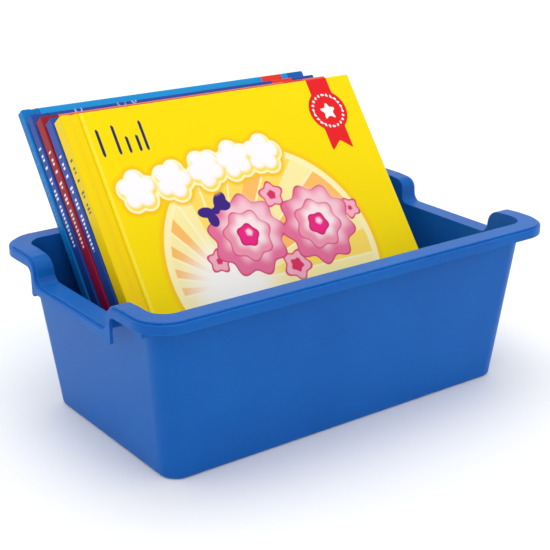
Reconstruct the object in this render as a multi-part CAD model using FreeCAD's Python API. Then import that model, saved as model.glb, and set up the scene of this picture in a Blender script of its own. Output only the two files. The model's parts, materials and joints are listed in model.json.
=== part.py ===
import FreeCAD, Part
import math
import os

# A book tub: one moulded plastic tub with a turned-down rim, lowered at both
# ends as hand-holds, and five hardback picture books leaning back inside it.
# Millimetres. X runs along the tub's long side, Y from front to back, Z up.
# The origin is the centre of the tub's underside.

# ---- tub ----
FOOT_LENGTH = 285.0      # outside length at the underside
FOOT_DEPTH = 155.6       # outside depth at the underside
TUB_HEIGHT = 120.0       # floor of the room to the top of the rim
DRAFT = 0.111            # how far each wall leans out per mm of height
WALL = 2.3
FLOOR = 2.5
FOOT_CORNER_R = 13.3
MOUTH_CORNER_R = 15.8
FOOT_EDGE_R = 2.4        # rounding between the underside and the walls
INSIDE_EDGE_R = 2.0

# ---- rim ----
END_OVERHANG = 11.5      # rim past the end walls, at the top
SIDE_OVERHANG = 12.9     # rim past the long walls, at the top
RIM_CORNER_R = 24.0
RIM_TAPER = 0.01         # how far the lip leans in per mm of drop
RIM_THICK = 2.3
LIP_DROP = 7.3           # top of the rim to the lip's lower edge
LEDGE_WIDTH = 2.0        # the rim steps down once before it turns over
LEDGE_DROP = 1.3
RIM_EDGE_R = 0.9

# ---- hand-holds: the rim dips at both ends ----
DIP = 18.0               # how far the rim drops
DIP_FLAT_HALF = 47.4     # middle of the end to the foot of the step
STEP_RUN = 18.6          # foot of the step to where the rim is level again
STEP_FOOT_R = 6.0
STEP_HEAD_R = 9.0
STRAP_OFFSET = 2.2       # foot of the step to the strap beside the dip
STRAP_WIDTH = 3.8        # lip seen as an upright strap
STRAP_HEAD_R = 5.5       # rounding where the strap joins the level lip
STRAP_LIP_DROP = 6.5     # lip below the dipped rim
STRAP_EXTRA = 2.2        # the strap ends this much below the dipped lip
RIGHT_DIP_SHIFT = -4.0   # the right hand-hold sits this much nearer the front

# ---- stacking stops under the rim, at two opposite corners ----
STOP_WIDTH = 8.6
STOP_DROP = 13.2         # below the top of the rim
STOP_CORNER_R = 2.0

# ---- books ----
SPINE_CLEARANCE = 12.9   # left end wall's foot to the spines
EDGE_CLEARANCE = 20.4    # right end wall's foot to the covers' free edges
HEEL_Y = -1.7            # where the last book's foot stands
FOOT_GAP = 0.4           # front book's face to the front wall's foot
BOARD = 2.2
HINGE_WIDTH = 13.0       # strip between the spine and the board
GROOVE_X = 8.8           # lowest line of the groove, from the spine
GROOVE_DEPTH = 1.7
SPINE_WRAP = 1.3
PAGE_INSET = 3.2         # pages stand back from the boards' edges
BOOK_GAP = 0.7           # between two books
RIM_GAP = 0.4            # between the last book and the rim
FLOOR_GAP = 0.3
PIECE_GAP = 0.3          # between pages and boards
TILT = 0.72              # degrees; the stack has tipped over to the right

# name, share of the stack's thickness, height, how far it has slid along X
BOOKS = (
    ("yellow_book", 13.0, 242.4, 0.0),
    ("blue_book", 11.3, 238.4, -0.4),
    ("red_book", 11.0, 236.6, -0.9),
    ("navy_book", 9.9, 236.0, -1.6),
    ("cyan_book", 9.3, 237.5, -2.2),
)


def half_length(z):
    return FOOT_LENGTH / 2.0 + DRAFT * z


def half_depth(z):
    return FOOT_DEPTH / 2.0 + DRAFT * z


def corner_radius(z):
    return FOOT_CORNER_R + (MOUTH_CORNER_R - FOOT_CORNER_R) * z / TUB_HEIGHT


def rounded_rectangle(half_x, half_y, radius, z):
    """Closed wire in a level plane, centred on the Z axis."""
    vector = FreeCAD.Vector
    side_x = half_x - radius
    side_y = half_y - radius
    diagonal = radius * math.sqrt(0.5)
    edges = []
    signs = ((1, 1), (-1, 1), (-1, -1), (1, -1))
    for index, (sx, sy) in enumerate(signs):
        on_x = vector(sx * half_x, sy * side_y, z)
        on_y = vector(sx * side_x, sy * half_y, z)
        middle = vector(sx * (side_x + diagonal), sy * (side_y + diagonal), z)
        start, end = (on_x, on_y) if sx * sy > 0 else (on_y, on_x)
        edges.append(Part.Arc(start, middle, end).toShape())
        nx, ny = signs[(index + 1) % 4]
        if sx * sy > 0:
            following = vector(nx * side_x, ny * half_y, z)
        else:
            following = vector(nx * half_x, ny * side_y, z)
        edges.append(Part.makeLine(end, following))
    return Part.Wire(edges)


def tapered_block(low, high):
    """Solid between two rounded rectangles, each (half x, half y, radius, z)."""
    return Part.makeLoft([rounded_rectangle(*low), rounded_rectangle(*high)], True, True)


def rounded_path(points, radii):
    """Edges through 2D points, each inner corner rounded by its radius."""
    edges = []
    start = points[0]
    for index in range(1, len(points) - 1):
        before, corner, after = points[index - 1], points[index], points[index + 1]
        ux, uy = before[0] - corner[0], before[1] - corner[1]
        vx, vy = after[0] - corner[0], after[1] - corner[1]
        lu, lv = math.hypot(ux, uy), math.hypot(vx, vy)
        ux, uy, vx, vy = ux / lu, uy / lu, vx / lv, vy / lv
        half_angle = math.acos(max(-1.0, min(1.0, ux * vx + uy * vy))) / 2.0
        reach = radii[index - 1] / math.tan(half_angle)
        entry = (corner[0] + ux * reach, corner[1] + uy * reach)
        leave = (corner[0] + vx * reach, corner[1] + vy * reach)
        bx, by = ux + vx, uy + vy
        length = math.hypot(bx, by)
        depth = radii[index - 1] / math.sin(half_angle) - radii[index - 1]
        middle = (corner[0] + bx / length * depth, corner[1] + by / length * depth)
        edges.append(("line", start, entry))
        edges.append(("arc", entry, middle, leave))
        start = leave
    edges.append(("line", start, points[-1]))
    return edges


def edges_in_plane(path, place):
    """FreeCAD edges from a rounded path; place turns a 2D point into 3D."""
    made = []
    for item in path:
        points = [place(p) for p in item[1:]]
        if item[0] == "line":
            made.append(Part.makeLine(*points))
        else:
            made.append(Part.Arc(*points).toShape())
    return made


def mirrored(points, radii):
    """Left-right symmetric path from its right half, which starts at y = 0."""
    left = [(-y, z) for y, z in reversed(points[1:])]
    return left + points[1:], list(reversed(radii)) + list(radii)


def end_profile_half(points, radii, close_z, reach, shift):
    """One half, from X = 0 out to reach, with the profile moved by shift in Y."""
    full_points, full_radii = mirrored(points, radii)

    def place(p):
        return FreeCAD.Vector(0, p[0] + shift, p[1])

    edges = edges_in_plane(rounded_path(full_points, full_radii), place)
    first, last = full_points[0], full_points[-1]
    edges.append(Part.makeLine(place(last), place((last[0], close_z))))
    edges.append(Part.makeLine(place((last[0], close_z)), place((first[0], close_z))))
    edges.append(Part.makeLine(place((first[0], close_z)), place(first)))
    face = Part.Face(Part.Wire(Part.__sortEdges__(edges)))
    return face.extrude(FreeCAD.Vector(reach, 0, 0))


def end_profile_prism(points, radii, close_z):
    """Everything between a profile across the tub and the level close_z."""
    reach = half_length(TUB_HEIGHT) + END_OVERHANG + 20.0
    left = end_profile_half(points, radii, close_z, -reach, 0.0)
    right = end_profile_half(points, radii, close_z, reach, RIGHT_DIP_SHIFT)
    return left.fuse(right)


def rim_profiles():
    """Top, ledge, underside and lip edge of the rim across the tub, right halves."""
    wide = half_depth(TUB_HEIGHT) + SIDE_OVERHANG + 20.0
    dipped = TUB_HEIGHT - DIP
    level = DIP_FLAT_HALF + STEP_RUN
    top = (
        [(0, dipped), (DIP_FLAT_HALF, dipped),
         (DIP_FLAT_HALF + 1.2, TUB_HEIGHT - 1.1), (level, TUB_HEIGHT), (wide, TUB_HEIGHT)],
        [STEP_FOOT_R, STEP_HEAD_R, 5.0],
    )
    down = LEDGE_DROP
    ledge = (
        [(0, dipped - down), (DIP_FLAT_HALF + down, dipped - down),
         (DIP_FLAT_HALF + 1.2 + down, TUB_HEIGHT - 1.1 - down),
         (level, TUB_HEIGHT - down), (wide, TUB_HEIGHT - down)],
        [STEP_FOOT_R + down, STEP_HEAD_R - down, 5.0],
    )
    low = TUB_HEIGHT - RIM_THICK
    under = (
        [(0, dipped - RIM_THICK), (DIP_FLAT_HALF + RIM_THICK, dipped - RIM_THICK),
         (DIP_FLAT_HALF + 1.2 + RIM_THICK, low - 1.1), (level, low), (wide, low)],
        [STEP_FOOT_R + 2.0, STEP_HEAD_R - 3.0, 5.0],
    )
    strap_in = DIP_FLAT_HALF + STRAP_OFFSET
    strap_out = strap_in + STRAP_WIDTH
    lip = dipped - STRAP_LIP_DROP
    edge = (
        [(0, lip), (strap_in, lip), (strap_in, lip - STRAP_EXTRA),
         (strap_out, lip - STRAP_EXTRA), (strap_out, TUB_HEIGHT - LIP_DROP),
         (wide, TUB_HEIGHT - LIP_DROP)],
        [0.9, 1.2, 1.6, STRAP_HEAD_R],
    )
    return top, ledge, under, edge


def rim_outline(z, inset=0.0):
    """Rim outline at height z, moved in by inset."""
    drop = TUB_HEIGHT - z
    half_x = half_length(TUB_HEIGHT) + END_OVERHANG - RIM_TAPER * drop - inset
    half_y = half_depth(TUB_HEIGHT) + SIDE_OVERHANG - RIM_TAPER * drop - inset
    return half_x, half_y, RIM_CORNER_R - inset, z


def round_rim_edge(block):
    """Round the rim's outer top edge all the way round, steps included."""
    chosen = []
    lowest = block.BoundBox.ZMin
    widest = block.BoundBox.YMax
    for edge in block.Edges:
        if min(v.Point.z for v in edge.Vertexes) < lowest + 0.01:
            continue
        middle = edge.valueAt((edge.FirstParameter + edge.LastParameter) / 2.0)
        across = edge.BoundBox.XLength > 20.0 or abs(middle.x) < 1.0
        if across and abs(middle.y) < widest - 5.0:
            continue
        chosen.append(edge)
    return block.makeFillet(RIM_EDGE_R, chosen)


def stacking_stops():
    """Ribs between the end walls and the lip, beside two opposite corners."""
    stops = []
    top = TUB_HEIGHT - RIM_THICK + 0.4
    bottom = TUB_HEIGHT - STOP_DROP
    outer = half_length(TUB_HEIGHT) + END_OVERHANG - RIM_THICK - 1.6
    inner = half_length(bottom) - WALL / 2.0
    centre = half_depth(TUB_HEIGHT) + SIDE_OVERHANG - RIM_CORNER_R + 1.6
    for side in (1, -1):
        rib = Part.makeBox(
            outer - inner, STOP_WIDTH, top - bottom,
            FreeCAD.Vector(inner, -STOP_WIDTH / 2.0, bottom))
        lower = [e for e in rib.Edges
                 if e.BoundBox.ZMax < bottom + 0.01 and e.BoundBox.XLength > 1.0]
        rib = rib.makeFillet(STOP_CORNER_R, lower)
        if side < 0:
            rib.rotate(FreeCAD.Vector(0, 0, 0), FreeCAD.Vector(0, 0, 1), 180)
        rib.translate(FreeCAD.Vector(0, side * centre, 0))
        stops.append(rib)
    return stops


def make_tub():
    """Walls, floor, rim, lip and stacking stops as one moulding."""
    outside = tapered_block(
        (half_length(0), half_depth(0), corner_radius(0), 0),
        (half_length(TUB_HEIGHT), half_depth(TUB_HEIGHT), corner_radius(TUB_HEIGHT),
         TUB_HEIGHT))
    outside = outside.makeFillet(
        FOOT_EDGE_R, [e for e in outside.Edges if e.BoundBox.ZMax < 0.01])
    over = TUB_HEIGHT + 2.0
    inside = tapered_block(
        (half_length(FLOOR) - WALL, half_depth(FLOOR) - WALL,
         corner_radius(FLOOR) - WALL, FLOOR),
        (half_length(over) - WALL, half_depth(over) - WALL,
         corner_radius(over) - WALL, over))
    inside = inside.makeFillet(
        INSIDE_EDGE_R, [e for e in inside.Edges if e.BoundBox.ZMax < FLOOR + 0.01])

    top, ledge, under, edge = rim_profiles()
    sky = end_profile_prism(top[0], top[1], TUB_HEIGHT + 30.0)
    under_sky = end_profile_prism(under[0], under[1], TUB_HEIGHT + 30.0)
    over_ledge = end_profile_prism(ledge[0], ledge[1], TUB_HEIGHT + 30.0)
    ground = end_profile_prism(edge[0], edge[1], -10.0)

    base = TUB_HEIGHT - DIP - STRAP_LIP_DROP - STRAP_EXTRA - 8.0
    rim = tapered_block(rim_outline(base), rim_outline(TUB_HEIGHT)).cut(over_ledge)
    flat = tapered_block(
        rim_outline(base, LEDGE_WIDTH), rim_outline(TUB_HEIGHT, LEDGE_WIDTH)).cut(sky)
    rim = round_rim_edge(rim).fuse(round_rim_edge(flat)).cut(ground)
    hollow = tapered_block(
        rim_outline(base - 1.0, RIM_THICK), rim_outline(TUB_HEIGHT, RIM_THICK))
    rim = rim.cut(hollow.cut(under_sky))

    tub = outside.cut(sky).fuse(rim)
    for stop in stacking_stops():
        tub = tub.fuse(stop)
    return tub.cut(inside).removeSplitter()


def book_width():
    """The books fill the tub's length but for a named gap at each end."""
    room = 2.0 * (half_length(FLOOR) - WALL)
    return room - SPINE_CLEARANCE - EDGE_CLEARANCE


def spine_x():
    """Where the books' spines stand."""
    return SPINE_CLEARANCE - (half_length(FLOOR) - WALL)


def stack_lean():
    """Lean of the stack, in degrees, from its foot and the rear rim."""
    rim_y = half_depth(TUB_HEIGHT) - WALL
    return math.degrees(math.atan((rim_y - HEEL_Y) / (TUB_HEIGHT - FLOOR)))


def stack_thickness():
    """Room for books between the rear rim and the foot of the front wall."""
    lean = math.radians(stack_lean())
    rim_y = half_depth(TUB_HEIGHT) - WALL
    foot_y = half_depth(FLOOR) - WALL
    across = (rim_y + foot_y) * math.cos(lean)
    return across - (TUB_HEIGHT - FLOOR) * math.sin(lean) - RIM_GAP - FOOT_GAP


def stack_placement():
    """Book frame to tub frame: X along the cover, Y back, Z up the cover."""
    lean = math.radians(stack_lean())
    rim_y = half_depth(TUB_HEIGHT) - WALL
    back = stack_thickness() + RIM_GAP + TUB_HEIGHT * math.sin(lean)
    origin = FreeCAD.Vector(0, rim_y - back / math.cos(lean), 0)
    lean_back = FreeCAD.Rotation(FreeCAD.Vector(1, 0, 0), -stack_lean())
    tip_right = FreeCAD.Rotation(FreeCAD.Vector(0, 1, 0), TILT)
    return FreeCAD.Placement(origin, lean_back.multiply(tip_right))


def book_foot(back_y, slide):
    """Height up the cover at which a book's lowest corner meets the floor."""
    lean = math.radians(stack_lean())
    tilt = math.radians(TILT)
    right = spine_x() + book_width() + slide
    rise = (FLOOR + FLOOR_GAP + back_y * math.sin(lean)) / math.cos(lean)
    return (rise + right * math.sin(tilt)) / math.cos(tilt)


def prism_up(edges, foot, height):
    face = Part.Face(Part.Wire(Part.__sortEdges__(edges)))
    return face.extrude(FreeCAD.Vector(0, 0, height)).translated(FreeCAD.Vector(0, 0, foot))


def make_spine(front, thick, foot, height):
    """Stiff back strip with a grooved hinge strip along each side."""
    flip = front * 2.0 + thick

    def place(p):
        return FreeCAD.Vector(spine_x() + p[0], front + p[1], 0)

    def place_back(p):
        return FreeCAD.Vector(spine_x() + p[0], flip - front - p[1], 0)

    middle = thick / 2.0
    outer = [(0, middle), (0, 0.25), (GROOVE_X - 3.6, 0.25),
             (GROOVE_X, GROOVE_DEPTH), (HINGE_WIDTH, 0.35)]
    inner = [(2.0, middle), (2.0, 0.25 + SPINE_WRAP), (GROOVE_X - 3.9, 0.25 + SPINE_WRAP),
             (GROOVE_X, GROOVE_DEPTH + SPINE_WRAP), (HINGE_WIDTH, 0.35 + SPINE_WRAP)]
    edges = []
    for where in (place, place_back):
        edges += edges_in_plane(rounded_path(outer, [1.3, 2.6, 2.2]), where)
        edges += edges_in_plane(rounded_path(inner, [0.4, 1.4, 3.0]), where)
        edges.append(Part.makeLine(where(outer[-1]), where(inner[-1])))
    return prism_up(edges, foot, height)


def make_board(y, foot, height):
    """One cover board with softened edges."""
    start = spine_x() + HINGE_WIDTH + PIECE_GAP
    board = Part.makeBox(
        spine_x() + book_width() - start, BOARD, height, FreeCAD.Vector(start, y, foot))
    return board.makeFillet(0.45, board.Edges)


def make_pages(front, thick, foot, height):
    """Page block, narrower where it meets the hinge grooves."""
    near = GROOVE_DEPTH + SPINE_WRAP + PIECE_GAP
    flat = BOARD + PIECE_GAP
    left = spine_x() + 2.0 + PIECE_GAP
    shoulder = spine_x() + HINGE_WIDTH + 1.0
    right = spine_x() + book_width() - PAGE_INSET
    outline = [
        (left, near), (shoulder, near), (shoulder + 3.0, flat), (right, flat),
        (right, thick - flat), (shoulder + 3.0, thick - flat),
        (shoulder, thick - near), (left, thick - near),
    ]
    points = [FreeCAD.Vector(x, front + y, 0) for x, y in outline]
    edges = [Part.makeLine(points[i], points[(i + 1) % 8]) for i in range(8)]
    return prism_up(edges, foot + PAGE_INSET, height - 2.0 * PAGE_INSET)


def make_books():
    """All books' pieces by node name, leaning in the tub."""
    where = stack_placement()
    gaps = BOOK_GAP * (len(BOOKS) - 1)
    scale = (stack_thickness() - gaps) / sum(book[1] for book in BOOKS)
    pieces = {}
    front = 0.0
    for name, share, height, slide in BOOKS:
        thick = share * scale
        foot = book_foot(front + thick, slide)
        made = {
            "front_board": make_board(front, foot, height),
            "back_board": make_board(front + thick - BOARD, foot, height),
            "spine": make_spine(front, thick, foot, height),
            "pages": make_pages(front, thick, foot, height),
        }
        for part_name, shape in made.items():
            shape.translate(FreeCAD.Vector(slide, 0, 0))
            pieces[name + "_" + part_name] = shape.transformed(where.toMatrix())
        front += thick + BOOK_GAP
    return pieces


def main():
    os.makedirs("parts", exist_ok=True)
    pieces = {"tub": make_tub()}
    pieces.update(make_books())
    for name, shape in pieces.items():
        solid = shape.Solids[0] if len(shape.Solids) == 1 else shape
        box = solid.BoundBox
        print(name, solid.ShapeType, len(shape.Solids), shape.isValid(),
              round(solid.Volume / 1000.0, 2), "cm3",
              [round(v, 1) for v in (box.XMin, box.XMax, box.YMin, box.YMax,
                                     box.ZMin, box.ZMax)])
        solid.exportStep("parts/" + name + ".step")
    print("lean", round(stack_lean(), 3), "stack", round(stack_thickness(), 3))


main()
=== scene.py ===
"""Moulded book tub with five hardback picture books leaning in it, on its CAD frame."""
import json
import logging
import math
from collections.abc import Callable, Sequence
from dataclasses import dataclass
from enum import Enum

import bpy
import numpy as np
from mathutils import Matrix, Vector


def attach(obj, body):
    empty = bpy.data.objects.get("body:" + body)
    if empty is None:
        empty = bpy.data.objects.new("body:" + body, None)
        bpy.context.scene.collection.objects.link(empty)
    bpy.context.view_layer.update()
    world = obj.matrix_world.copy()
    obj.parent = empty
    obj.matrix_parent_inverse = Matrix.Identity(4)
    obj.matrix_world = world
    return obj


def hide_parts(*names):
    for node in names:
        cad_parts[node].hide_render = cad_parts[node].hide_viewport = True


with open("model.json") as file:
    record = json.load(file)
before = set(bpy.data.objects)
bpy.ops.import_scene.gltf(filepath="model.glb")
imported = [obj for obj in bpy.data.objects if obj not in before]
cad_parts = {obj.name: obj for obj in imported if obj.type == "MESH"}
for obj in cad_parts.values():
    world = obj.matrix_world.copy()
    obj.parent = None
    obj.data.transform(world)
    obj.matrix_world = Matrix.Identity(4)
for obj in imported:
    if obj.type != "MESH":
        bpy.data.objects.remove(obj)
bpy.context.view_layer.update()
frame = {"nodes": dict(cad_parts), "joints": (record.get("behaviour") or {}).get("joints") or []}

Array = np.ndarray
Socket = bpy.types.NodeSocket
Shape = Callable[[Array, Array], Array]  # signed distance from a sheet's x and z
Place = tuple[float, float]
Place3 = tuple[float, float, float]
MM = 0.001
SHEET = "sheet_mm"  # attribute: a point's place from the spine edge and the foot, in mm
ROLL_ANGLES = (45.0, 30.0, 15.0)  # where a rolled edge is cut, in degrees from the flat
MERGE_DECIMALS = 7  # points closer than 0.1 micrometre are one point
PAPER_IOR = 1.5  # paper fibre and laminating film
log = logging.getLogger("book_tub")


# ---------------------------------------------------------------- colour, nodes and meshes

def linear(code: str) -> tuple[float, float, float, float]:
    """Turns an sRGB hex colour such as "2566b0" into linear red, green, blue and alpha.

    Args:
        code: six hex digits.

    Returns:
        The four linear values.
    """
    srgb = np.array([int(code[i:i + 2], 16) / 255.0 for i in (0, 2, 4)])
    flat = np.where(srgb <= 0.04045, srgb / 12.92, ((srgb + 0.055) / 1.055) ** 2.4)
    return (*map(float, flat), 1.0)


def add_node(tree: bpy.types.NodeTree, kind: str, links: dict | None = None,
             stops: Sequence[tuple[float, str]] = (), **settings: object) -> bpy.types.Node:
    """Adds one shader node with its settings and its links.

    Args:
        tree: the material's or world's node tree.
        kind: the node's type without its "ShaderNode" start.
        links: socket name or number, and the output socket or the constant that it takes.
        stops: for a colour ramp, each stop's place and hex colour.
        settings: the node's own properties.

    Returns:
        The new node.
    """
    node = tree.nodes.new("ShaderNode" + kind)
    for key, value in settings.items():
        setattr(node, key, value)
    for key, value in (links or {}).items():
        if isinstance(value, Socket):
            tree.links.new(value, node.inputs[key])
        else:
            node.inputs[key].default_value = value
    for number, (place, code) in enumerate(stops):
        ramp = node.color_ramp.elements
        stop = ramp[number] if number < len(ramp) else ramp.new(place)
        stop.position, stop.color = place, linear(code)
    return node


def new_material(name: str) -> tuple[bpy.types.Material, bpy.types.NodeTree]:
    """Starts a node material whose tree is empty.

    Args:
        name: the real material's name.

    Returns:
        The material and its empty node tree.
    """
    material = bpy.data.materials.new(name)
    material.use_nodes = True
    material.node_tree.nodes.clear()
    return material, material.node_tree


def make_piece(name: str, points: Array, faces: Array, material: bpy.types.Material,
               fields: dict[str, Array] | None = None) -> bpy.types.Object:
    """Puts computed arrays into a smooth mesh object at the origin.

    Args:
        name: the piece's name.
        points: corner places in metres, one row each.
        faces: corner numbers, one row per face.
        material: the piece's finish.
        fields: named values per corner, one number or three each.

    Returns:
        The linked object.
    """
    mesh = bpy.data.meshes.new(name)
    mesh.from_pydata(points.tolist(), [], faces.tolist())
    for key, values in (fields or {}).items():
        vector = values.ndim == 2
        attribute = mesh.attributes.new(key, "FLOAT_VECTOR" if vector else "FLOAT", "POINT")
        attribute.data.foreach_set("vector" if vector else "value",
                                   values.astype(np.float32).ravel())
    mesh.polygons.foreach_set("use_smooth", np.ones(len(mesh.polygons), bool))
    mesh.materials.append(material)
    mesh.update()
    piece = bpy.data.objects.new(name, mesh)
    bpy.context.scene.collection.objects.link(piece)
    return piece


def rounded_block(low: Array, high: Array, radius: float,
                  counts: tuple[int, int, int]) -> tuple[Array, Array]:
    """Closed block whose edges are rolled to a small radius.

    Six grids lie on the faces of the box. Each grid point p moves to c + r (p - c) / |p - c|,
    where c is p held inside the box shrunk by r, so the faces stay flat, the edges become
    quarter rounds and the corners eighth spheres. Shared border points are then merged.

    Args:
        low: lowest corner.
        high: highest corner.
        radius: edge radius, under half the thinnest side.
        counts: number of even steps across the flat part, along each axis.

    Returns:
        Corner places and four-sided faces that point outwards.
    """
    roll = radius * np.tan(np.radians(ROLL_ANGLES))
    lines = [np.concatenate([low[a] + radius - roll,
                             np.linspace(low[a] + radius, high[a] - radius, counts[a] + 1),
                             high[a] - radius + roll[::-1]]) for a in range(3)]
    places, quads, start = [], [], 0
    for axis in range(3):
        one, two = (axis + 1) % 3, (axis + 2) % 3
        for side in (low[axis], high[axis]):
            u, v = np.meshgrid(lines[one], lines[two], indexing="ij")
            grid = np.empty(u.shape + (3,))
            grid[..., axis], grid[..., one], grid[..., two] = side, u, v
            number = start + np.arange(u.size).reshape(u.shape)
            turn = [number[:-1, :-1], number[1:, :-1], number[1:, 1:], number[:-1, 1:]]
            if side == low[axis]:
                turn.reverse()
            quads.append(np.stack(turn, -1).reshape(-1, 4))
            places.append(grid.reshape(-1, 3))
            start += u.size
    box = np.concatenate(places)
    core = np.clip(box, low + radius, high - radius)
    away = box - core
    points = core + radius * away / np.linalg.norm(away, axis=1, keepdims=True)
    _, first, merged = np.unique(np.round(points, MERGE_DECIMALS), axis=0,
                                 return_index=True, return_inverse=True)
    return points[first], merged.ravel()[np.concatenate(quads)]


# ---------------------------------------------------------------- printed shapes, in mm

def disc(x: Array, z: Array, cx: float, cz: float, r: float) -> Array:
    """Signed distance to a disc: distance to its centre, less its radius."""
    return np.hypot(x - cx, z - cz) - r


def oval(x: Array, z: Array, cx: float, cz: float, rx: float, rz: float,
         turn: float = 0.0) -> Array:
    """Near signed distance to an oval: (offset over the radii, less 1) x small radius.

    Args:
        x: places along the sheet.
        z: places up the sheet.
        cx: centre along the sheet.
        cz: centre up the sheet.
        rx: radius along its own first axis.
        rz: radius along its own second axis.
        turn: its turn, in degrees.

    Returns:
        The distance at each place.
    """
    c, s = math.cos(math.radians(turn)), math.sin(math.radians(turn))
    u, v = (x - cx) * c + (z - cz) * s, (z - cz) * c - (x - cx) * s
    return (np.hypot(u / rx, v / rz) - 1.0) * min(rx, rz)


def bar(x: Array, z: Array, a: Place, b: Place, width: float) -> Array:
    """Signed distance to a round-ended bar: distance to its middle line, less half its width.

    Args:
        x: places along the sheet.
        z: places up the sheet.
        a: start of the middle line.
        b: end of the middle line.
        width: the bar's width.

    Returns:
        The distance at each place.
    """
    along = np.array(b, float) - a
    share = ((x - a[0]) * along[0] + (z - a[1]) * along[1]) / (along @ along)
    share = np.clip(share, 0.0, 1.0)
    return np.hypot(x - a[0] - share * along[0], z - a[1] - share * along[1]) - width / 2.0


def outline(x: Array, z: Array, corners: Sequence[Place]) -> Array:
    """Signed distance to a polygon: the least distance to its sides, negative inside it.

    Args:
        x: places along the sheet.
        z: places up the sheet.
        corners: the polygon's corners in order.

    Returns:
        The distance at each place.
    """
    nearest = np.full(x.shape, np.inf)
    inside = np.zeros(x.shape, bool)
    for (ax, az), (bx, bz) in zip(corners, (*corners[1:], corners[0])):
        nearest = np.minimum(nearest, bar(x, z, (ax, az), (bx, bz), 0.0))
        spans = (az > z) != (bz > z)
        with np.errstate(divide="ignore", invalid="ignore"):
            inside ^= spans & (x < ax + (z - az) * (bx - ax) / (bz - az))
    return np.where(inside, -nearest, nearest)


def star(x: Array, z: Array, cx: float, cz: float, r: float, points: int = 5,
         waist: float = 0.45) -> Array:
    """Signed distance to a star: a polygon whose corners stand on two circles in turn.

    Args:
        x: places along the sheet.
        z: places up the sheet.
        cx: centre along the sheet.
        cz: centre up the sheet.
        r: radius of the points' circle.
        points: number of points.
        waist: the inner circle's radius as a share of the outer one's.

    Returns:
        The distance at each place.
    """
    ends = [(cx + r * (waist if k % 2 else 1.0) * math.sin(math.pi * k / points),
             cz + r * (waist if k % 2 else 1.0) * math.cos(math.pi * k / points))
            for k in range(2 * points)]
    return outline(x, z, ends)


def blossom(x: Array, z: Array, cx: float, cz: float, r: float, petals: int = 5,
            turn: float = 0.0, middle: float = 0.62) -> Array:
    """Signed distance to a puffy blossom: the nearest of equal discs set round its centre.

    Args:
        x: places along the sheet.
        z: places up the sheet.
        cx: centre along the sheet.
        cz: centre up the sheet.
        r: the blossom's radius; each petal has half of it.
        petals: number of petals.
        turn: the first petal's turn from upright, in degrees.
        middle: the middle disc's radius as a share of the blossom's.

    Returns:
        The distance at each place.
    """
    angle = math.radians(turn) + 2.0 * math.pi * np.arange(petals) / petals
    rounds = [disc(x, z, cx + 0.5 * r * math.sin(a), cz + 0.5 * r * math.cos(a), 0.5 * r)
              for a in angle]
    return union(*rounds, disc(x, z, cx, cz, middle * r))


def flower(x: Array, z: Array, cx: float, cz: float, r: float, petals: int,
           turn: float = 0.0, depth: float = 0.09) -> Array:
    """Near signed distance to a wavy disc: its radius is r (1 + depth cos(petals x angle))."""
    angle = np.arctan2(x - cx, z - cz) - math.radians(turn)
    return np.hypot(x - cx, z - cz) - r * (1.0 + depth * np.cos(petals * angle))


def union(*shapes: Array) -> Array:
    """Signed distance to several shapes at once: the least of theirs."""
    return np.minimum.reduce(shapes)


@dataclass(frozen=True)
class Ink:
    """One printed colour on a cover.

    Args:
        name: the colour's name on the sheet.
        code: sRGB hex colour.
        shape: gives the signed distance in mm from the sheet's x and z.
        soft: width in mm over which its edge fades.
    """

    name: str
    code: str
    shape: Shape
    soft: float = 0.25


# ---------------------------------------------------------------- finishes

@dataclass(frozen=True)
class TubPlastic:
    """Polypropylene, injection moulded: even through-dyed blue with a soft gloss.

    The mould's spark-eroded skin leaves a grain of about 0.3 mm, drawn at 0.9 mm so that it
    shows. It breaks the gloss a little, and the colour stays even, as dyed granules give it.
    """

    colour: str = "0f61b2"
    deep: str = "0e5bac"
    flow_mm: float = 70.0  # the melt's streaks, where the blue deepens a little
    grain_mm: float = 0.9
    grain_depth_mm: float = 0.03
    grain_bump: float = 0.12
    roughness: float = 0.36
    rough_swing: float = 0.05
    ior: float = 1.49
    specular: float = 0.12
    haze: float = 0.75  # polypropylene lets a little light through its 2.3 mm wall
    haze_mm: float = 1.0
    haze_spread: Place3 = (1.2, 1.2, 2.4)  # blue light goes furthest

    def make(self) -> bpy.types.Material:
        """Builds the material on Object coordinates.

        Returns:
            The material.
        """
        material, tree = new_material("polypropylene_moulded_blue")
        place = add_node(tree, "TexCoord").outputs["Object"]
        flow = add_node(tree, "TexNoise", {"Vector": place, "Scale": 1.0 / (self.flow_mm * MM),
                                           "Detail": 3.0, "Roughness": 0.5})
        colour = add_node(tree, "ValToRGB", {"Fac": flow.outputs["Fac"]},
                          stops=((0.3, self.deep), (0.7, self.colour)))
        grain = add_node(tree, "TexNoise", {
            "Vector": place, "Scale": 1.0 / (self.grain_mm * MM), "Detail": 2.0})
        rough = add_node(tree, "MapRange", {"Value": grain.outputs["Fac"],
                                            "To Min": self.roughness - self.rough_swing,
                                            "To Max": self.roughness + self.rough_swing})
        bump = add_node(tree, "Bump", {"Height": grain.outputs["Fac"],
                                       "Strength": self.grain_bump,
                                       "Distance": self.grain_depth_mm * MM})
        shader = add_node(tree, "BsdfPrincipled", {
            "Base Color": colour.outputs["Color"], "Roughness": rough.outputs["Result"],
            "IOR": self.ior, "Specular IOR Level": self.specular,
            "Subsurface Weight": self.haze, "Subsurface Scale": self.haze_mm * MM,
            "Subsurface Radius": self.haze_spread, "Normal": bump.outputs["Normal"]})
        add_node(tree, "OutputMaterial", {"Surface": shader.outputs[0]})
        return material


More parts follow.
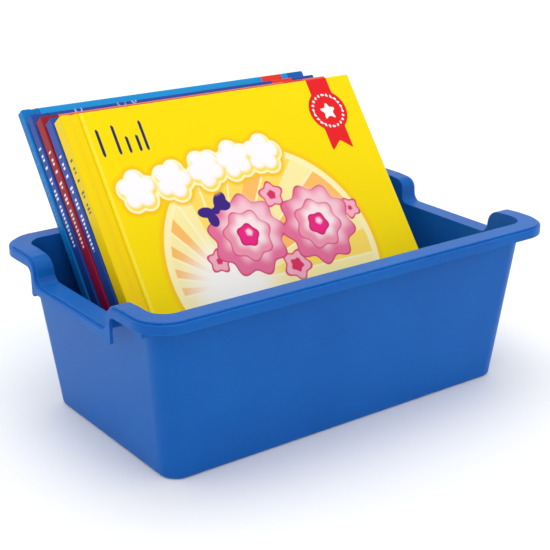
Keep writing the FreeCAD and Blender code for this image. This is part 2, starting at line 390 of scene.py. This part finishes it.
@dataclass(frozen=True)
class Sunburst:
    """Printed rays round a bright middle, inside a ring.

    Args:
        centre: the ring's centre on the sheet, in mm.
        radius: the ring's radius.
        heart: where the rays meet.
        rays: number of rays in a full turn.
        glow: radius of the white middle.
        line: width in mm of the pale line along each side of a ray.
        tones: the rays' colours.
        white: the middle's colour.
        thread: the pale line's colour.
    """

    centre: Place
    radius: float
    heart: Place
    rays: int = 40
    glow: float = 52.0
    line: float = 0.7
    tones: tuple[str, ...] = ("f9e9a2", "fbd960", "f9bb62")
    white: str = "fbf7f0"
    thread: str = "fdf1c2"

    def print_on(self, tree: bpy.types.NodeTree, sheet: Socket, under: Socket) -> Socket:
        """Prints the rays over a colour.

        A ray's number is its angle's share of a turn times the ray count, rounded down. The
        number picks its tone, and the share left over gives the distance to the next ray.

        Args:
            tree: the cover's node tree.
            sheet: the sheet place in mm.
            under: the colour below.

        Returns:
            The colour with the rays on it.
        """
        arm = add_node(tree, "VectorMath", {0: sheet, 1: (*self.heart, 0.0)},
                       operation="SUBTRACT")
        part = add_node(tree, "SeparateXYZ", {0: arm.outputs[0]})
        reach = add_node(tree, "VectorMath", {0: arm.outputs[0]}, operation="LENGTH")
        angle = add_node(tree, "Math", {0: part.outputs[1], 1: part.outputs[0]},
                         operation="ARCTAN2")
        number = add_node(tree, "Math", {0: angle.outputs[0], 1: self.rays / (2.0 * math.pi)},
                          operation="MULTIPLY")
        whole = add_node(tree, "Math", {0: number.outputs[0]}, operation="FLOOR")
        chance = add_node(tree, "TexWhiteNoise", {"W": whole.outputs[0]},
                          noise_dimensions="1D")
        tone = add_node(tree, "ValToRGB", {"Fac": chance.outputs["Value"]},
                        stops=((0.0, self.tones[0]), (0.5, self.tones[1]),
                               (0.78, self.tones[2])))
        tone.color_ramp.interpolation = "CONSTANT"
        share = add_node(tree, "Math", {0: number.outputs[0], 1: 1.0}, operation="PINGPONG")
        width = add_node(tree, "Math", {0: reach.outputs["Value"],
                                        1: 2.0 * math.pi / self.rays}, operation="MULTIPLY")
        away = add_node(tree, "Math", {0: share.outputs[0], 1: width.outputs[0]},
                        operation="MULTIPLY")
        edge = add_node(tree, "MapRange", {"Value": away.outputs[0],
                                           "From Min": self.line + 0.3,
                                           "From Max": self.line - 0.3})
        lined = add_node(tree, "Mix", {0: edge.outputs[0], 6: tone.outputs[0],
                                       7: linear(self.thread)}, data_type="RGBA")
        middle = add_node(tree, "MapRange", {"Value": reach.outputs["Value"],
                                             "From Min": self.glow,
                                             "From Max": self.glow * 0.2},
                          interpolation_type="SMOOTHERSTEP")
        lit = add_node(tree, "Mix", {0: middle.outputs[0], 6: lined.outputs[2],
                                     7: linear(self.white)}, data_type="RGBA")
        span = add_node(tree, "VectorMath", {0: sheet, 1: (*self.centre, 0.0)},
                        operation="DISTANCE")
        within = add_node(tree, "MapRange", {"Value": span.outputs["Value"],
                                             "From Min": self.radius + 0.2,
                                             "From Max": self.radius - 0.2})
        return add_node(tree, "Mix", {0: within.outputs[0], 6: under, 7: lit.outputs[2]},
                        data_type="RGBA").outputs[2]


@dataclass(frozen=True)
class CoverPrint:
    """Art paper, offset printed, gloss laminated and glued round grey board.

    The film gives a clear coat over the matt ink. The paper's fibre is about 0.3 mm, drawn at
    0.8 mm, and the board under it waves over some 60 mm, which bends the reflections.
    """

    name: str
    ground: str
    shade: str
    inks: tuple[Ink, ...] = ()
    burst: Sunburst | None = None
    tones_per_m: float = 9.0  # the ground's tone changes over about 110 mm
    fibre_mm: float = 0.8
    fibre_depth_mm: float = 0.02
    fibre_bump: float = 0.1
    wave_mm: float = 60.0
    wave_depth_mm: float = 1.2
    wave_bump: float = 0.25
    roughness: float = 0.38
    rough_swing: float = 0.04
    gloss: float = 0.07
    coat: float = 0.03
    coat_roughness: float = 0.2

    def make(self) -> bpy.types.Material:
        """Builds the ground tone, then prints each ink where its distance is below 0.

        Returns:
            The material.
        """
        material, tree = new_material(f"laminated_print_{self.name}")
        place = add_node(tree, "TexCoord").outputs["Object"]
        sheet = add_node(tree, "Attribute", attribute_name=SHEET).outputs["Vector"]
        tone = add_node(tree, "TexNoise", {"Vector": place, "Scale": self.tones_per_m,
                                           "Detail": 2.0})
        colour = add_node(tree, "ValToRGB", {"Fac": tone.outputs["Fac"]},
                          stops=((0.35, self.ground), (0.8, self.shade))).outputs["Color"]
        for ink in self.inks:
            if self.burst and ink.name == "ring":
                colour = self.burst.print_on(tree, sheet, colour)
            reach = add_node(tree, "Attribute", attribute_name=f"ink_{ink.name}")
            cover = add_node(tree, "MapRange", {"Value": reach.outputs["Fac"],
                                                "From Min": ink.soft, "From Max": -ink.soft},
                             interpolation_type="SMOOTHSTEP")
            colour = add_node(tree, "Mix", {0: cover.outputs[0], 6: colour,
                                            7: linear(ink.code)}, data_type="RGBA").outputs[2]
        fibre = add_node(tree, "TexNoise", {
            "Vector": place, "Scale": 1.0 / (self.fibre_mm * MM), "Detail": 3.0})
        wave = add_node(tree, "TexNoise", {
            "Vector": place, "Scale": 1.0 / (self.wave_mm * MM), "Detail": 1.0})
        swell = add_node(tree, "Bump", {"Height": wave.outputs["Fac"],
                                        "Strength": self.wave_bump,
                                        "Distance": self.wave_depth_mm * MM})
        skin = add_node(tree, "Bump", {"Height": fibre.outputs["Fac"],
                                       "Strength": self.fibre_bump,
                                       "Distance": self.fibre_depth_mm * MM,
                                       "Normal": swell.outputs[0]})
        rough = add_node(tree, "MapRange", {"Value": fibre.outputs["Fac"],
                                            "To Min": self.roughness - self.rough_swing,
                                            "To Max": self.roughness + self.rough_swing})
        shader = add_node(tree, "BsdfPrincipled", {
            "Base Color": colour, "Roughness": rough.outputs[0], "IOR": PAPER_IOR,
            "Specular IOR Level": self.gloss, "Coat Weight": self.coat,
            "Coat Roughness": self.coat_roughness,
            "Normal": skin.outputs[0], "Coat Normal": swell.outputs[0]})
        add_node(tree, "OutputMaterial", {"Surface": shader.outputs[0]})
        return material


@dataclass(frozen=True)
class SpinePrint:
    """The same laminated art paper on a spine, with a row of plain short marks.

    The marks are 3 mm apart along the spine's middle. Each cell of the row draws a number
    that sets its mark's length across the row, and a cell with a low number stays empty.
    The ground turns from its low tone to its upper one on the way up.
    """

    name: str
    ground: str
    low: str
    mark: str
    rows: tuple[Place, ...]  # start and end of each row of marks, in mm from the foot
    pitch: float = 3.0
    height: float = 4.4
    shortest: float = 0.28  # half the shortest mark, as a share of the height
    stroke: float = 0.6  # share of a cell that its mark fills
    empty: float = 0.15  # share of the cells that stay empty
    fade: Place = (0.35, 0.75)  # where the ground's tone changes, as shares of the spine
    fibre_mm: float = 0.8
    fibre_depth_mm: float = 0.02
    fibre_bump: float = 0.12
    roughness: float = 0.36
    gloss: float = 0.1
    coat: float = 0.04
    coat_roughness: float = 0.2

    def make(self, across: Array, up: Array, middle: float, foot: float,
             tall: float) -> bpy.types.Material:
        """Builds the material on Object coordinates turned to the book's own axes.

        Args:
            across: unit vector through the book.
            up: unit vector up the spine.
            middle: place of the spine's middle along across, in metres.
            foot: place of the spine's foot along up, in metres.
            tall: the spine's height, in metres.

        Returns:
            The material.
        """
        material, tree = new_material(f"laminated_spine_{self.name}")
        place = add_node(tree, "TexCoord").outputs["Object"]
        reach = add_node(tree, "VectorMath", {0: place, 1: tuple(across)},
                         operation="DOT_PRODUCT")
        side = add_node(tree, "Math", {0: reach.outputs["Value"], 1: middle},
                        operation="SUBTRACT")
        aside = add_node(tree, "Math", {0: side.outputs[0]}, operation="ABSOLUTE")
        rise = add_node(tree, "VectorMath", {0: place, 1: tuple(up)}, operation="DOT_PRODUCT")
        level = add_node(tree, "Math", {0: rise.outputs["Value"], 1: foot},
                         operation="SUBTRACT")
        run = add_node(tree, "Math", {0: level.outputs[0], 1: self.pitch * MM},
                       operation="DIVIDE")
        cell = add_node(tree, "Math", {0: run.outputs[0]}, operation="FLOOR")
        draw = add_node(tree, "TexWhiteNoise", {"W": cell.outputs[0]}, noise_dimensions="1D")
        size = add_node(tree, "MapRange", {"Value": draw.outputs["Value"],
                                           "From Min": self.empty, "From Max": 1.0,
                                           "To Min": self.height * self.shortest * MM,
                                           "To Max": self.height * 0.5 * MM})
        there = add_node(tree, "Math", {0: draw.outputs["Value"], 1: self.empty},
                         operation="GREATER_THAN")
        beside = add_node(tree, "Math", {0: aside.outputs[0], 1: size.outputs[0]},
                          operation="LESS_THAN")
        step = add_node(tree, "Math", {0: run.outputs[0], 1: 1.0}, operation="FLOORED_MODULO")
        within = add_node(tree, "Math", {0: step.outputs[0], 1: 0.5, 2: self.stroke / 2.0},
                          operation="COMPARE")
        mark = add_node(tree, "Math", {0: there.outputs[0], 1: beside.outputs[0]},
                        operation="MULTIPLY")
        mark = add_node(tree, "Math", {0: mark.outputs[0], 1: within.outputs[0]},
                        operation="MULTIPLY")
        spans = None
        for low, high in self.rows:
            span = add_node(tree, "Math", {0: level.outputs[0], 1: (low + high) / 2.0 * MM,
                                           2: (high - low) / 2.0 * MM}, operation="COMPARE")
            spans = span if spans is None else add_node(
                tree, "Math", {0: spans.outputs[0], 1: span.outputs[0]}, operation="MAXIMUM")
        mark = add_node(tree, "Math", {0: mark.outputs[0], 1: spans.outputs[0]},
                        operation="MULTIPLY")
        fade = add_node(tree, "MapRange", {"Value": level.outputs[0],
                                           "From Min": tall * self.fade[0],
                                           "From Max": tall * self.fade[1]})
        ground = add_node(tree, "Mix", {0: fade.outputs[0], 6: linear(self.low),
                                        7: linear(self.ground)}, data_type="RGBA")
        colour = add_node(tree, "Mix", {0: mark.outputs[0], 6: ground.outputs[2],
                                        7: linear(self.mark)}, data_type="RGBA")
        fibre = add_node(tree, "TexNoise", {
            "Vector": place, "Scale": 1.0 / (self.fibre_mm * MM), "Detail": 3.0})
        skin = add_node(tree, "Bump", {"Height": fibre.outputs["Fac"],
                                       "Strength": self.fibre_bump,
                                       "Distance": self.fibre_depth_mm * MM})
        shader = add_node(tree, "BsdfPrincipled", {
            "Base Color": colour.outputs[2], "Roughness": self.roughness, "IOR": PAPER_IOR,
            "Specular IOR Level": self.gloss, "Coat Weight": self.coat,
            "Coat Roughness": self.coat_roughness, "Normal": skin.outputs[0]})
        add_node(tree, "OutputMaterial", {"Surface": shader.outputs[0]})
        return material


@dataclass(frozen=True)
class PagePaper:
    """Wood-free offset paper, cut as a block: fine lines where the leaves' edges lie together.

    A leaf is about 0.15 mm thick, drawn at 0.45 mm so that the lines show.
    """

    leaf_mm: float = 0.45
    leaf_depth_mm: float = 0.15
    leaf_bump: float = 0.6
    sway_mm: float = 0.6  # the leaves' lines bend by this much
    sways_per_m: float = 14.0
    roughness: float = 0.85
    gloss: float = 0.2
    pale: str = "f4f1e8"
    dark: str = "d9d3c4"

    def make(self, across: Array) -> bpy.types.Material:
        """Builds the paper with its lines square to one direction.

        Args:
            across: unit vector through the book.

        Returns:
            The material.
        """
        material, tree = new_material("offset_paper_block")
        place = add_node(tree, "TexCoord").outputs["Object"]
        depth = add_node(tree, "VectorMath", {0: place, 1: tuple(across)},
                         operation="DOT_PRODUCT")
        bend = add_node(tree, "TexNoise", {"Vector": place, "Scale": self.sways_per_m,
                                           "Detail": 2.0})
        sway = add_node(tree, "Math", {0: bend.outputs["Fac"], 1: self.sway_mm * MM,
                                       2: depth.outputs["Value"]}, operation="MULTIPLY_ADD")
        leaf = add_node(tree, "TexNoise", {"W": sway.outputs[0],
                                           "Scale": 1.0 / (self.leaf_mm * MM), "Detail": 1.0},
                        noise_dimensions="1D")
        colour = add_node(tree, "ValToRGB", {"Fac": leaf.outputs["Fac"]},
                          stops=((0.35, self.dark), (0.55, self.pale)))
        ridge = add_node(tree, "Bump", {"Height": leaf.outputs["Fac"],
                                        "Strength": self.leaf_bump,
                                        "Distance": self.leaf_depth_mm * MM})
        shader = add_node(tree, "BsdfPrincipled", {
            "Base Color": colour.outputs[0], "Roughness": self.roughness, "IOR": PAPER_IOR,
            "Specular IOR Level": self.gloss, "Normal": ridge.outputs[0]})
        add_node(tree, "OutputMaterial", {"Surface": shader.outputs[0]})
        return material


# ---------------------------------------------------------------- cover art

CLOUDS = ((37.0, 178.5), (66.0, 181.5), (94.5, 185.5), (120.0, 188.5), (145.0, 189.5))
CLOUD_RADIUS = 16.6
CLOUD_TURN = 20.0  # degrees from one blossom to the next
FLOWERS = ((108.0, 132.0, 8.0), (168.5, 129.5, 28.0))  # x, z and turn in degrees
BUDS = ((139.0, 158.0, 9.5, 0.0), (138.0, 103.0, 11.0, 30.0), (78.0, 118.0, 8.5, 10.0),
        (201.0, 136.0, 8.0, 50.0))  # x, z, radius and turn in degrees
BUD_DEPTH = 0.16
SUN_CENTRE = (124.0, 111.0)
SUN_RADIUS = 84.5
SUN_HEART = (83.0, 99.0)
TITLE_FOOT = 208.5
TITLE_WIDTH = 2.3
TITLE_BARS = ((22.0, 227.5), (34.5, 229.0), (42.5, 219.5), (50.5, 219.5), (56.2, 229.5))
ROSETTE = (216.4, 215.0)
ROSETTE_RADIUS = 17.0
RIBBON = ((206.8, 246.0), (226.0, 246.0), (226.0, 182.0), (216.4, 190.0), (206.8, 182.0))
BEADS = 22
BEAD_RING = 13.2
BEAD_RADIUS = 1.25
STAR = (216.4, 214.6, 8.2)  # x, z and radius


def cloud_row(grow: float, lift: float = 0.0, side: float = 0.0) -> Shape:
    """Row of puffy blossoms along a rising line.

    Args:
        grow: how much the blossoms are grown, in mm.
        lift: shift up.
        side: shift to the right.

    Returns:
        The row's distance function.
    """
    def shape(x: Array, z: Array) -> Array:
        """The nearest blossom's distance, less the growth."""
        row = [blossom(x, z, cx + side, cz + lift, CLOUD_RADIUS, turn=CLOUD_TURN * k)
               for k, (cx, cz) in enumerate(CLOUDS)]
        return union(*row) - grow
    return shape


def flowers(r: float, petals: int, turn: float = 0.0, dx: float = 0.0,
            dz: float = 0.0) -> Shape:
    """Both large flowers, for one ring of petals or the light on it.

    Args:
        r: radius.
        petals: number of petals.
        turn: turn from the flower's own, in degrees.
        dx: shift to the right.
        dz: shift up.

    Returns:
        The pair's distance function.
    """
    return lambda x, z: union(*(flower(x, z, cx + dx, cz + dz, r, petals, own + turn)
                                for cx, cz, own in FLOWERS))


def buds(grow: float) -> Shape:
    """Four small flowers that look out beside the two large ones, grown by some mm."""
    return lambda x, z: union(*(flower(x, z, cx, cz, r + grow, 5, turn, BUD_DEPTH)
                                for cx, cz, r, turn in BUDS))


def sun_ring(grow: float) -> Shape:
    """Band along the sunburst's edge: distance to the circle, less half the band's width."""
    return lambda x, z: np.abs(disc(x, z, *SUN_CENTRE, SUN_RADIUS)) - grow


def title_bars(x: Array, z: Array) -> Array:
    """Five plain bars of unlike height where a title would stand."""
    return union(*(bar(x, z, (at, TITLE_FOOT), (at, top), TITLE_WIDTH)
                   for at, top in TITLE_BARS))


def butterfly(x: Array, z: Array) -> Array:
    """Four oval wings round a middle."""
    return union(oval(x, z, 81.5, 154.5, 6.6, 4.0, -5.0),
                 oval(x, z, 95.5, 161.0, 7.6, 5.0, 62.0),
                 oval(x, z, 85.5, 148.0, 4.2, 5.4, 10.0),
                 oval(x, z, 98.0, 157.0, 5.2, 3.8, 5.0),
                 disc(x, z, 90.0, 154.5, 2.9))


def rosette(x: Array, z: Array) -> Array:
    """Upright ribbon from the top edge with a notched end, and a round rosette on it."""
    return union(outline(x, z, RIBBON), disc(x, z, *ROSETTE, ROSETTE_RADIUS))


def rosette_beads(x: Array, z: Array) -> Array:
    """Ring of beads round a plain star.

    Args:
        x: places along the sheet.
        z: places up the sheet.

    Returns:
        The distance at each place.
    """
    angle = 2.0 * math.pi * np.arange(BEADS) / BEADS
    beads = [disc(x, z, ROSETTE[0] + BEAD_RING * math.sin(a),
                  ROSETTE[1] + BEAD_RING * math.cos(a), BEAD_RADIUS) for a in angle]
    return union(*beads, star(x, z, *STAR))


YELLOW_INKS = (
    # painted highlight: a pale line 15.4 mm from the spine edge, along the hinge groove's
    # shoulder, where the laminate catches the light
    Ink("painted_hinge_highlight", "fbe96a", lambda x, z: np.abs(x - 15.4) - 0.5, 0.9),
    Ink("halo", "f7c012", sun_ring(5.5), 2.5),
    Ink("ring", "fbeeb0", sun_ring(2.6)),
    Ink("bud_rim", "d9426f", buds(0.0), 0.4),
    Ink("bud", "f3aebf", buds(-1.5), 0.8),
    Ink("bud_heart", "d9305f", buds(-6.0), 0.6),
    Ink("petal_rim", "cf3f6c", flowers(29.6, 9), 0.4),
    Ink("petal", "e56f98", flowers(28.4, 9), 0.8),
    Ink("petal_light", "f6c6d0", flowers(22.5, 9, 0.0, 3.0, 4.0), 6.0),
    Ink("inner_rim", "d64c79", flowers(18.6, 7, 20.0), 0.5),
    Ink("inner", "ee93ac", flowers(17.6, 7, 20.0), 0.8),
    Ink("inner_light", "fae3e6", flowers(13.0, 7, 20.0, 2.0, 2.5), 4.0),
    Ink("heart_rim", "c21f58", flowers(8.6, 5, 5.0), 0.4),
    Ink("heart", "ec2583", flowers(7.4, 5, 5.0), 0.8),
    Ink("heart_light", "fbd3de", flowers(2.6, 5, 5.0, 1.5, 2.0), 1.2),
    Ink("butterfly", "3d2580", butterfly),
    Ink("cloud_glow", "f5bd10", cloud_row(2.6), 2.2),
    Ink("cloud_edge", "fdf2bd", cloud_row(0.4), 0.4),
    Ink("cloud_fill", "f9d84a", cloud_row(-1.4), 0.5),
    Ink("cloud_top", "f8f3f5", cloud_row(-2.4, 1.8, -0.6), 1.8),
    Ink("title", "1f2f57", title_bars),
    Ink("rosette", "e21f26", rosette),
    Ink("beads", "fbf7f5", rosette_beads),
)


def scatter(places: Sequence[Place3], width: float = 0.0) -> Shape:
    """Scattered discs, or rings.

    Args:
        places: x, z and radius of each.
        width: width of the rings' line, or 0 for full discs.

    Returns:
        The distance function.
    """
    def shape(x: Array, z: Array) -> Array:
        """The nearest disc's or ring's distance."""
        rounds = [disc(x, z, cx, cz, r) for cx, cz, r in places]
        return union(*(np.abs(d) - width / 2.0 for d in rounds) if width else rounds)
    return shape


# x, z and radius of each
BUBBLES = ((44.0, 226.0, 8.0), (84.0, 226.0, 11.0), (101.0, 228.0, 5.0), (150.0, 196.0, 20.0),
           (66.0, 176.0, 26.0), (120.0, 150.0, 16.0), (190.0, 140.0, 30.0), (60.0, 96.0, 18.0),
           (140.0, 84.0, 24.0), (206.0, 70.0, 14.0), (96.0, 42.0, 20.0), (170.0, 34.0, 16.0))
LOW_BUBBLES = BUBBLES[3:]
TOP_BUBBLES = ((36.7, 234.9, 2.8), (72.2, 234.9, 3.2), (82.6, 235.4, 1.6))


class BookTitle(Enum):
    """The five books, from the front of the tub to the back."""

    YELLOW = "yellow"
    BLUE = "blue"
    RED = "red"
    NAVY = "navy"
    CYAN = "cyan"


AWARD = (Ink("rosette", "e5392f", rosette), Ink("beads", "fbf7f5", rosette_beads))

COVERS = {
    BookTitle.YELLOW: CoverPrint("yellow", "f5d800", "f3d500", YELLOW_INKS,
                                 Sunburst(SUN_CENTRE, SUN_RADIUS, SUN_HEART)),
    BookTitle.BLUE: CoverPrint("blue", "2a55a8", "244c9c", (
        Ink("pond", "3f8fd2", lambda x, z: disc(x, z, 130.0, 100.0, 84.0), 10.0),
        Ink("bubbles", "a9c6ee", scatter(BUBBLES, 2.0)), *AWARD)),
    BookTitle.RED: CoverPrint("red", "c5403f", "b8363c", (
        Ink("glow", "f08a4b", lambda x, z: disc(x, z, 130.0, 100.0, 80.0), 14.0),
        Ink("top_edge", "ef7a52", lambda x, z: np.abs(z - 236.6) - 1.5, 0.8),
        Ink("dots", "fbe3b0", scatter(LOW_BUBBLES)), *AWARD)),
    BookTitle.NAVY: CoverPrint("navy", "2b50a4", "27489a", (
        Ink("sky", "5c79c9", lambda x, z: disc(x, z, 120.0, 110.0, 78.0), 12.0),
        Ink("bubbles", "dfe4fa", scatter(LOW_BUBBLES, 1.8)),
        Ink("top_bubbles", "a9b6ee", scatter(TOP_BUBBLES, 1.4)), *AWARD)),
    BookTitle.CYAN: CoverPrint("cyan", "2196d8", "1c8fd2", (
        Ink("sun", "8fd3f2", lambda x, z: disc(x, z, 120.0, 110.0, 76.0), 12.0),
        Ink("dots", "f4fbff", scatter(LOW_BUBBLES, 2.4)),
        Ink("patch", "1b5fb0", lambda x, z: outline(
            x, z, ((232.0, 250.0), (250.0, 250.0), (250.0, 196.0), (232.0, 205.0)))), *AWARD)),
}

SPINES = {
    BookTitle.YELLOW: SpinePrint("yellow", "f0d000", "ecc600", "7d6a2c", ((172.0, 214.0),)),
    BookTitle.BLUE: SpinePrint("blue", "2f4ea4", "123f86", "e9eefc", ((140.0, 212.0),)),
    BookTitle.RED: SpinePrint("red", "981a26", "8e1446", "f6dfe2", ((138.0, 212.0),)),
    BookTitle.NAVY: SpinePrint("navy", "2a479a", "163e88", "dfe6fa", ((136.0, 212.0),)),
    BookTitle.CYAN: SpinePrint("cyan", "0673bd", "0568ae", "1b86ca", ((120.0, 212.0),)),
}


# ---------------------------------------------------------------- sub-assemblies

@dataclass
class Tub:
    """The one-piece moulded tub."""

    node: str = "tub"
    finish: TubPlastic = TubPlastic()

    def build(self) -> None:
        """Dresses the tub in moulded plastic."""
        tub = frame["nodes"][self.node]
        tub.material_slots[0].material = self.finish.make()
        log.info("tub: dressed")


@dataclass(frozen=True)
class BookAxes:
    """The leaning books' own directions, from the joint that lifts them."""

    along: Array
    across: Array
    up: Array

    @classmethod
    def from_lift(cls, name: str) -> "BookAxes":
        """Reads the upward axis of a lift joint and squares the other two to it.

        Args:
            name: the slide joint's name.

        Returns:
            Along the cover from the spine, through the book to the back, and up the cover.
        """
        joint = next(j for j in frame["joints"] if j["name"] == name)
        up = np.array(joint["axis"], float)
        up /= np.linalg.norm(up)
        across = np.cross(up, (1.0, 0.0, 0.0))
        across /= np.linalg.norm(across)
        return cls(np.cross(across, up), across, up)

    def matrix(self) -> Array:
        """The three directions as rows."""
        return np.array([self.along, self.across, self.up])

    def box(self, node: str) -> tuple[Array, Array]:
        """Lowest and highest corner of a CAD node along the book's own directions.

        Args:
            node: the node's name.

        Returns:
            The two corners, in metres.
        """
        mesh = frame["nodes"][node].data
        flat = np.empty(len(mesh.vertices) * 3, np.float32)
        mesh.vertices.foreach_get("co", flat)
        own = flat.reshape(-1, 3).astype(float) @ self.matrix().T
        return own.min(0), own.max(0)


@dataclass
class Book:
    """One hardback picture book: two printed boards, a spine and its pages."""

    title: BookTitle
    axes: BookAxes
    edge_radius: float = 0.95 * MM
    printed_steps: tuple[int, int, int] = (150, 1, 150)  # fine enough for the printed edges
    plain_steps: tuple[int, int, int] = (12, 1, 12)

    def build(self) -> None:
        """Makes the boards and dresses the spine and pages."""
        name = f"{self.title.value}_book"
        cover = "yellow_cover" if self.title is BookTitle.YELLOW else name
        finish = COVERS[self.title]
        back = CoverPrint(f"{self.title.value}_back", finish.ground, finish.shade)
        spine_low, spine_high = self.axes.box(f"{name}_spine")
        self.board(f"{name}_front_board", cover, finish, spine_low)
        self.board(f"{name}_back_board", name, back, spine_low)
        spine = frame["nodes"][f"{name}_spine"]
        spine.material_slots[0].material = SPINES[self.title].make(
            self.axes.across, self.axes.up, (spine_low[1] + spine_high[1]) / 2.0, spine_low[2],
            spine_high[2] - spine_low[2])
        pages = frame["nodes"][f"{name}_pages"]
        pages.material_slots[0].material = PagePaper().make(self.axes.across)
        log.info("%s: boards, spine and pages", name)

    def board(self, node: str, body: str, finish: CoverPrint, origin: Array) -> None:
        """Makes one cover board on its CAD node's own box.

        Args:
            node: the CAD node it stands for.
            body: the body it rides on.
            finish: its print, with the inks that are laid on it.
            origin: the spine's lowest corner, from where the sheet is measured.
        """
        low, high = self.axes.box(node)
        steps = self.printed_steps if finish.inks else self.plain_steps
        points, faces = rounded_block(low, high, self.edge_radius, steps)
        x, z = (points[:, 0] - origin[0]) / MM, (points[:, 2] - origin[2]) / MM
        fields = {SHEET: np.stack([x, z, np.zeros_like(x)], 1)}
        fields |= {f"ink_{ink.name}": ink.shape(x, z) for ink in finish.inks}
        piece = make_piece(f"{node}_print", points @ self.axes.matrix(), faces,
                           finish.make(), fields)
        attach(piece, body)
        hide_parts(node)


@dataclass(frozen=True)
class Softbox:
    """One square soft light.

    Args:
        name: the light's name.
        place: where it hangs, in metres.
        size: its side, in metres.
        power: its power, in watts.
        target: the point it faces.
    """

    name: str
    place: Place3
    size: float
    power: float
    target: Place3 = (0.0, 0.0, 0.1)


SOFTBOXES = (Softbox("softbox_over", (-0.1, 0.1, 1.8), 1.4, 8.0),
             Softbox("softbox_front", (0.3, -1.9, 0.9), 1.2, 1.5))


@dataclass
class Studio:
    """Pale floor, soft lights and the camera."""

    floor_radius: float = 6.0
    floor_level: float = -0.2 * MM  # just below the tub's underside
    rings: int = 24
    spokes: int = 96
    sky_colour: str = "ffffff"
    sky_strength: float = 1.0
    position: Place3 = (-0.5254, -0.7272, 0.4170)
    yaw: float = 35.633
    pitch: float = 20.217
    roll: float = -0.4616
    lens: float = 87.75
    sensor: float = 36.0
    clip_start: float = 0.01

    def build(self) -> None:
        """Makes the floor, the sky, the lights and the camera."""
        self.floor()
        self.sky()
        for softbox in SOFTBOXES:
            self.lamp(softbox)
        self.camera()
        log.info("studio: floor, lights and camera")

    def floor(self) -> None:
        """Round floor: the radius of its rings of points grows as their number squared."""
        rings, spokes = self.rings, self.spokes
        radius = self.floor_radius * (np.arange(1, rings + 1) / rings) ** 2
        angle = 2.0 * np.pi * np.arange(spokes) / spokes
        r, a = np.meshgrid(radius, angle, indexing="ij")
        level = np.full(r.shape, self.floor_level)
        points = np.stack([r * np.cos(a), r * np.sin(a), level], -1).reshape(-1, 3)
        points = np.vstack([points, [[0.0, 0.0, self.floor_level]]])
        number = np.arange(rings * spokes).reshape(rings, spokes)
        beside = np.roll(number, -1, 1)
        quads = np.stack([number[:-1], number[1:], beside[1:], beside[:-1]], -1)
        hub = np.stack([number[0], beside[0], np.full(spokes, rings * spokes)], -1)
        material, tree = new_material("painted_studio_floor")
        place = add_node(tree, "TexCoord").outputs["Object"]
        mottle = add_node(tree, "TexNoise", {"Vector": place, "Scale": 3.0, "Detail": 3.0})
        colour = add_node(tree, "ValToRGB", {"Fac": mottle.outputs["Fac"]},
                          stops=((0.3, "fafafa"), (0.7, "fcfcfc")))
        shader = add_node(tree, "BsdfPrincipled", {
            "Base Color": colour.outputs[0], "Roughness": 0.8, "Specular IOR Level": 0.1})
        add_node(tree, "OutputMaterial", {"Surface": shader.outputs[0]})
        mesh = bpy.data.meshes.new("studio_floor")
        mesh.from_pydata(points.tolist(), [], quads.reshape(-1, 4).tolist() + hub.tolist())
        mesh.materials.append(material)
        floor = bpy.data.objects.new("studio_floor", mesh)
        bpy.context.scene.collection.objects.link(floor)

    def sky(self) -> None:
        """Even white surround."""
        world = bpy.data.worlds.new("studio_surround")
        world.use_nodes = True
        world.node_tree.nodes.clear()
        glow = add_node(world.node_tree, "Background", {"Color": linear(self.sky_colour),
                                                        "Strength": self.sky_strength})
        add_node(world.node_tree, "OutputWorld", {"Surface": glow.outputs[0]})
        bpy.context.scene.world = world

    def lamp(self, softbox: Softbox) -> None:
        """Adds one soft light.

        Args:
            softbox: its place, size and power.
        """
        light = bpy.data.lights.new(softbox.name, "AREA")
        light.shape, light.size, light.energy = "SQUARE", softbox.size, softbox.power
        holder = bpy.data.objects.new(softbox.name, light)
        bpy.context.scene.collection.objects.link(holder)
        place = Vector(softbox.place)
        aim = Vector(softbox.target) - place
        holder.location = place
        holder.rotation_euler = aim.to_track_quat("-Z", "Y").to_euler()

    def camera(self) -> None:
        """Sets the camera: look direction from yaw and pitch, then rolled about it."""
        yaw, pitch, roll = (math.radians(a) for a in (self.yaw, self.pitch, self.roll))
        look = Vector((math.sin(yaw) * math.cos(pitch), math.cos(yaw) * math.cos(pitch),
                       -math.sin(pitch)))
        right = look.cross(Vector((0.0, 0.0, 1.0))).normalized()
        top = right.cross(look)
        side = math.cos(roll) * right + math.sin(roll) * top
        head = math.cos(roll) * top - math.sin(roll) * right
        data = bpy.data.cameras.new("studio_camera")
        data.sensor_width, data.lens = self.sensor, self.lens
        data.clip_start = self.clip_start
        camera = bpy.data.objects.new("studio_camera", data)
        turn = Matrix((side, head, -look)).transposed().to_4x4()
        turn.translation = Vector(self.position)
        camera.matrix_world = turn
        bpy.context.scene.collection.objects.link(camera)
        bpy.context.scene.camera = camera


def main() -> None:
    logging.basicConfig(level=logging.INFO, format="%(name)s: %(message)s")
    bpy.context.scene.view_settings.view_transform = "Standard"
    axes = BookAxes.from_lift("yellow_book_lift")
    Tub().build()
    for title in BookTitle:
        Book(title, axes).build()
    Studio().build()


if __name__ == "__main__":
    main()
